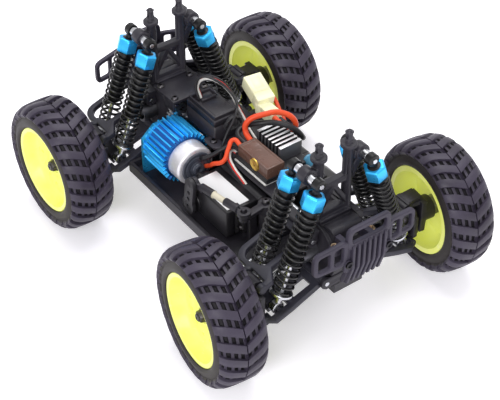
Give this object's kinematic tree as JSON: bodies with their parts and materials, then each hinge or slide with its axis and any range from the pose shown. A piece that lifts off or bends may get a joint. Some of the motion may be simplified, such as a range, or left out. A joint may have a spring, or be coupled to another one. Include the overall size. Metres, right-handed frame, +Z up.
{
  "type": "radio-controlled buggy chassis",
  "caption": "Radio-controlled all-wheel-drive truck-style buggy without its body shell: treaded wheels on sprung arms, servo steering, electric motor, gear drive and bumpers.",
  "frame": {"origin": "ground plane midway between the axles, within 1.5 mm of the middle of the bounding box", "axes": "+X forward (towards the front bumper), +Y to the car's left, +Z up"},
  "size_m": [0.2646, 0.2098, 0.135],
  "materials": {
    "tyre": "matt rubber with raised chevron bars",
    "rim": "glossy moulded plastic",
    "black_plastic": "satin moulded plastic",
    "chassis_plastic": "satin moulded plastic",
    "bumper_plastic": "satin moulded plastic",
    "blue_anodised": "anodised",
    "steel": "bright turned steel",
    "spring_steel": "black coated",
    "link_plastic": "satin moulded plastic",
    "brass": "plain",
    "servo_plastic": "semi-gloss moulded plastic",
    "controller_plastic": "satin moulded plastic",
    "battery_wrap": "shrink wrap",
    "wire_jacket": "silicone jacket"
  },
  "bodies": {
    "body": {"chassis": "chassis_plastic", "gearbox_housings": "black_plastic", "shock_towers": "black_plastic", "bumpers": "bumper_plastic", "motor": "steel", "motor_heat_sink": "blue_anodised", "servo": "servo_plastic", "speed_controller": "controller_plastic", "receiver": "servo_plastic", "battery": "battery_wrap", "wiring": "wire_jacket", "fasteners": "steel"},
    "lower_link_fr": {"lower_arm_fr": "black_plastic"},
    "upper_link_fr": {"upper_arm_fr": "black_plastic"},
    "hub_fr": {"carrier_fr": "black_plastic"},
    "drive_link_fr": {"dogbone_fr": "steel"},
    "shock_fr": {"shock_bodies_fr": "blue_anodised"},
    "shock_piston_fr": {"shock_rods_fr": "steel", "springs_fr": "spring_steel"},
    "wheel_fr": {"tyre_fr": "tyre", "rim_fr": "rim"},
    "knuckle_body_fr": {"knuckle_fr": "black_plastic"},
    "lower_link_fl": {"lower_arm_fl": "black_plastic"},
    "upper_link_fl": {"upper_arm_fl": "black_plastic"},
    "hub_fl": {"carrier_fl": "black_plastic"},
    "drive_link_fl": {"dogbone_fl": "steel"},
    "shock_fl": {"shock_bodies_fl": "blue_anodised"},
    "shock_piston_fl": {"shock_rods_fl": "steel", "springs_fl": "spring_steel"},
    "wheel_fl": {"tyre_fl": "tyre", "rim_fl": "rim"},
    "knuckle_body_fl": {"knuckle_fl": "black_plastic"},
    "lower_link_rr": {"lower_arm_rr": "black_plastic"},
    "upper_link_rr": {"upper_arm_rr": "black_plastic"},
    "hub_rr": {"carrier_rr": "black_plastic"},
    "drive_link_rr": {"dogbone_rr": "steel"},
    "shock_rr": {"shock_bodies_rr": "blue_anodised"},
    "shock_piston_rr": {"shock_rods_rr": "steel", "springs_rr": "spring_steel"},
    "wheel_rr": {"tyre_rr": "tyre", "rim_rr": "rim"},
    "lower_link_rl": {"lower_arm_rl": "black_plastic"},
    "upper_link_rl": {"upper_arm_rl": "black_plastic"},
    "hub_rl": {"carrier_rl": "black_plastic"},
    "drive_link_rl": {"dogbone_rl": "steel"},
    "shock_rl": {"shock_bodies_rl": "blue_anodised"},
    "shock_piston_rl": {"shock_rods_rl": "steel", "springs_rl": "spring_steel"},
    "wheel_rl": {"tyre_rl": "tyre", "rim_rl": "rim"},
    "horn": {"servo_horn": "black_plastic"},
    "link": {"drag_link": "link_plastic"},
    "crank": {"bellcrank": "black_plastic"},
    "relay": {"relay_plate": "chassis_plastic"},
    "tie_fr": {"tie_rod_fr": "steel"},
    "tie_fl": {"tie_rod_fl": "steel"},
    "shaft": {"centre_shaft": "steel"},
    "diff_front": {"front_diff": "steel"},
    "diff_rear": {"rear_diff": "steel"},
    "pinion": {"motor_pinion": "brass"}
  },
  "joints": [
    {"name": "suspension_fr", "type": "hinge", "parent": "body", "child": "lower_link_fr", "pos_m": [0.087, -0.017, 0.0446], "axis": [-1, 0, 0], "range_deg": [0, 15], "stiffness_Nm_per_rad": 1.2, "springref_deg": -20.05},
    {"name": "upper_arm_hinge_fr", "type": "hinge", "parent": "body", "child": "upper_link_fr", "pos_m": [0.087, -0.017, 0.0676], "axis": [-1, 0, 0], "range_deg": [0, 15]},
    {"name": "carrier_hinge_fr", "type": "hinge", "parent": "lower_link_fr", "child": "hub_fr", "pos_m": [0.087, -0.057, 0.032], "axis": [-1, 0, 0], "range_deg": [-15, 0]},
    {"name": "dogbone_spin_fr", "type": "hinge", "parent": "lower_link_fr", "child": "drive_link_fr", "pos_m": [0.087, -0.0195, 0.057], "axis": [0, 0.9563, 0.2925], "continuous": true},
    {"name": "shock_hinge_fr", "type": "hinge", "parent": "body", "child": "shock_fr", "pos_m": [0.087, -0.0195, 0.1165], "axis": [-1, 0, 0], "range_deg": [0, 3.06]},
    {"name": "shock_slide_fr", "type": "slide", "parent": "shock_fr", "child": "shock_piston_fr", "axis": [0, 0.3391, 0.9408], "range_m": [0, 0.0076], "deforming": ["springs_fr"]},
    {"name": "steering", "type": "hinge", "parent": "hub_fr", "child": "knuckle_body_fr", "pos_m": [0.087, -0.066, 0.044], "axis": [0, 0, 1], "range_deg": [-7.3, 20.7]},
    {"name": "wheel_spin_fr", "type": "hinge", "parent": "knuckle_body_fr", "child": "wheel_fr", "pos_m": [0.08472, -0.08537, 0.044], "axis": [0.1167, 0.9932, 0], "continuous": true},
    {"name": "suspension_fl", "type": "hinge", "parent": "body", "child": "lower_link_fl", "pos_m": [0.087, 0.017, 0.0446], "axis": [1, 0, 0], "range_deg": [0, 15], "stiffness_Nm_per_rad": 1.2, "springref_deg": -20.05},
    {"name": "upper_arm_hinge_fl", "type": "hinge", "parent": "body", "child": "upper_link_fl", "pos_m": [0.087, 0.017, 0.0676], "axis": [1, 0, 0], "range_deg": [0, 15]},
    {"name": "carrier_hinge_fl", "type": "hinge", "parent": "lower_link_fl", "child": "hub_fl", "pos_m": [0.087, 0.057, 0.032], "axis": [1, 0, 0], "range_deg": [-15, 0]},
    {"name": "dogbone_spin_fl", "type": "hinge", "parent": "lower_link_fl", "child": "drive_link_fl", "pos_m": [0.087, 0.0195, 0.057], "axis": [0, 0.9563, -0.2925], "continuous": true},
    {"name": "shock_hinge_fl", "type": "hinge", "parent": "body", "child": "shock_fl", "pos_m": [0.087, 0.0195, 0.1165], "axis": [1, 0, 0], "range_deg": [0, 3.06]},
    {"name": "shock_slide_fl", "type": "slide", "parent": "shock_fl", "child": "shock_piston_fl", "axis": [0, -0.3391, 0.9408], "range_m": [0, 0.0076], "deforming": ["springs_fl"]},
    {"name": "knuckle_pivot_fl", "type": "hinge", "parent": "hub_fl", "child": "knuckle_body_fl", "pos_m": [0.087, 0.066, 0.044], "axis": [0, 0, 1], "range_deg": [-7.3, 20.7]},
    {"name": "wheel_spin_fl", "type": "hinge", "parent": "knuckle_body_fl", "child": "wheel_fl", "pos_m": [0.08927, 0.08537, 0.044], "axis": [0.1167, 0.9932, 0], "continuous": true},
    {"name": "suspension_rr", "type": "hinge", "parent": "body", "child": "lower_link_rr", "pos_m": [-0.087, -0.017, 0.0446], "axis": [-1, 0, 0], "range_deg": [0, 15], "stiffness_Nm_per_rad": 1.2, "springref_deg": -20.05},
    {"name": "upper_arm_hinge_rr", "type": "hinge", "parent": "body", "child": "upper_link_rr", "pos_m": [-0.087, -0.017, 0.0676], "axis": [-1, 0, 0], "range_deg": [0, 15]},
    {"name": "carrier_hinge_rr", "type": "hinge", "parent": "lower_link_rr", "child": "hub_rr", "pos_m": [-0.087, -0.057, 0.032], "axis": [-1, 0, 0], "range_deg": [-15, 0]},
    {"name": "dogbone_spin_rr", "type": "hinge", "parent": "lower_link_rr", "child": "drive_link_rr", "pos_m": [-0.087, -0.0195, 0.057], "axis": [0, 0.9563, 0.2925], "continuous": true},
    {"name": "shock_hinge_rr", "type": "hinge", "parent": "body", "child": "shock_rr", "pos_m": [-0.087, -0.0195, 0.1165], "axis": [-1, 0, 0], "range_deg": [0, 3.06]},
    {"name": "shock_slide_rr", "type": "slide", "parent": "shock_rr", "child": "shock_piston_rr", "axis": [0, 0.3391, 0.9408], "range_m": [0, 0.0076], "deforming": ["springs_rr"]},
    {"name": "drive", "type": "hinge", "parent": "hub_rr", "child": "wheel_rr", "pos_m": [-0.087, -0.0855, 0.044], "axis": [0, 1, 0], "continuous": true},
    {"name": "suspension_rl", "type": "hinge", "parent": "body", "child": "lower_link_rl", "pos_m": [-0.087, 0.017, 0.0446], "axis": [1, 0, 0], "range_deg": [0, 15], "stiffness_Nm_per_rad": 1.2, "springref_deg": -20.05},
    {"name": "upper_arm_hinge_rl", "type": "hinge", "parent": "body", "child": "upper_link_rl", "pos_m": [-0.087, 0.017, 0.0676], "axis": [1, 0, 0], "range_deg": [0, 15]},
    {"name": "carrier_hinge_rl", "type": "hinge", "parent": "lower_link_rl", "child": "hub_rl", "pos_m": [-0.087, 0.057, 0.032], "axis": [1, 0, 0], "range_deg": [-15, 0]},
    {"name": "dogbone_spin_rl", "type": "hinge", "parent": "lower_link_rl", "child": "drive_link_rl", "pos_m": [-0.087, 0.0195, 0.057], "axis": [0, 0.9563, -0.2925], "continuous": true},
    {"name": "shock_hinge_rl", "type": "hinge", "parent": "body", "child": "shock_rl", "pos_m": [-0.087, 0.0195, 0.1165], "axis": [1, 0, 0], "range_deg": [0, 3.06]},
    {"name": "shock_slide_rl", "type": "slide", "parent": "shock_rl", "child": "shock_piston_rl", "axis": [0, -0.3391, 0.9408], "range_m": [0, 0.0076], "deforming": ["springs_rl"]},
    {"name": "wheel_spin_rl", "type": "hinge", "parent": "hub_rl", "child": "wheel_rl", "pos_m": [-0.087, 0.0855, 0.044], "axis": [0, 1, 0], "continuous": true},
    {"name": "relay_slide", "type": "slide", "parent": "body", "child": "relay", "axis": [0, 1, 0], "range_m": [-0.00801, 0.00289]},
    {"name": "bellcrank_pivot", "type": "hinge", "parent": "body", "child": "crank", "pos_m": [0.042, -0.014, 0.056], "axis": [0, 0, 1], "range_deg": [-25.1, 9.05]},
    {"name": "horn_pivot", "type": "hinge", "parent": "body", "child": "horn", "pos_m": [-0.003, -0.0397, 0.043], "axis": [0, 1, 0], "range_deg": [-26.21, 9.44]},
    {"name": "drag_link_pivot", "type": "hinge", "parent": "horn", "child": "link", "pos_m": [-0.00035, -0.0379, 0.06101], "axis": [0, 1, 0], "range_deg": [-9.44, 26.21]},
    {"name": "tie_rod_pivot_fr", "type": "hinge", "parent": "relay", "child": "tie_fr", "pos_m": [0.065, -0.02343, 0.0516], "axis": [-1, 0, 0], "range_deg": [0, 15]},
    {"name": "tie_rod_pivot_fl", "type": "hinge", "parent": "relay", "child": "tie_fl", "pos_m": [0.065, 0.02857, 0.0516], "axis": [1, 0, 0], "range_deg": [0, 15]},
    {"name": "centre_shaft_spin", "type": "hinge", "parent": "body", "child": "shaft", "pos_m": [0, 0, 0.057], "axis": [1, 0, 0], "continuous": true},
    {"name": "front_diff_spin", "type": "hinge", "parent": "body", "child": "diff_front", "pos_m": [0.087, 0, 0.057], "axis": [0, 1, 0], "continuous": true},
    {"name": "rear_diff_spin", "type": "hinge", "parent": "body", "child": "diff_rear", "pos_m": [-0.087, 0, 0.057], "axis": [0, 1, 0], "continuous": true},
    {"name": "motor_spin", "type": "hinge", "parent": "body", "child": "pinion", "pos_m": [-0.0637, -0.02285, 0.053], "axis": [1, 0, 0], "continuous": true}
  ],
  "couplings": [
    {"joint": "upper_arm_hinge_fr", "follows": "suspension_fr", "ratio": 1},
    {"joint": "carrier_hinge_fr", "follows": "suspension_fr", "ratio": -1},
    {"joint": "shock_hinge_fr", "follows": "suspension_fr", "ratio": 0.18414},
    {"joint": "shock_slide_fr", "follows": "suspension_fr", "m_per_rad": 0.027993},
    {"joint": "wheel_spin_fr", "follows": "drive", "ratio": 1},
    {"joint": "dogbone_spin_fr", "follows": "drive", "ratio": 1},
    {"joint": "upper_arm_hinge_fl", "follows": "suspension_fl", "ratio": 1},
    {"joint": "carrier_hinge_fl", "follows": "suspension_fl", "ratio": -1},
    {"joint": "shock_hinge_fl", "follows": "suspension_fl", "ratio": 0.18414},
    {"joint": "shock_slide_fl", "follows": "suspension_fl", "m_per_rad": 0.027993},
    {"joint": "knuckle_pivot_fl", "follows": "steering", "ratio": 1},
    {"joint": "wheel_spin_fl", "follows": "drive", "ratio": 1},
    {"joint": "dogbone_spin_fl", "follows": "drive", "ratio": 1},
    {"joint": "upper_arm_hinge_rr", "follows": "suspension_rr", "ratio": 1},
    {"joint": "carrier_hinge_rr", "follows": "suspension_rr", "ratio": -1},
    {"joint": "shock_hinge_rr", "follows": "suspension_rr", "ratio": 0.18414},
    {"joint": "shock_slide_rr", "follows": "suspension_rr", "m_per_rad": 0.027993},
    {"joint": "dogbone_spin_rr", "follows": "drive", "ratio": 1},
    {"joint": "upper_arm_hinge_rl", "follows": "suspension_rl", "ratio": 1},
    {"joint": "carrier_hinge_rl", "follows": "suspension_rl", "ratio": -1},
    {"joint": "shock_hinge_rl", "follows": "suspension_rl", "ratio": 0.18414},
    {"joint": "shock_slide_rl", "follows": "suspension_rl", "m_per_rad": 0.027993},
    {"joint": "wheel_spin_rl", "follows": "drive", "ratio": 1},
    {"joint": "dogbone_spin_rl", "follows": "drive", "ratio": 1},
    {"joint": "relay_slide", "follows": "steering", "m_per_rad": -0.021898},
    {"joint": "bellcrank_pivot", "follows": "steering", "ratio": -1.1981},
    {"joint": "horn_pivot", "follows": "steering", "ratio": -1.2515},
    {"joint": "drag_link_pivot", "follows": "steering", "ratio": 1.2515},
    {"joint": "tie_rod_pivot_fr", "follows": "suspension_fr", "ratio": 1},
    {"joint": "tie_rod_pivot_fl", "follows": "suspension_fl", "ratio": 1},
    {"joint": "centre_shaft_spin", "follows": "drive", "ratio": 3},
    {"joint": "front_diff_spin", "follows": "drive", "ratio": 1},
    {"joint": "rear_diff_spin", "follows": "drive", "ratio": 1},
    {"joint": "motor_spin", "follows": "drive", "ratio": -9.4286}
  ]
}
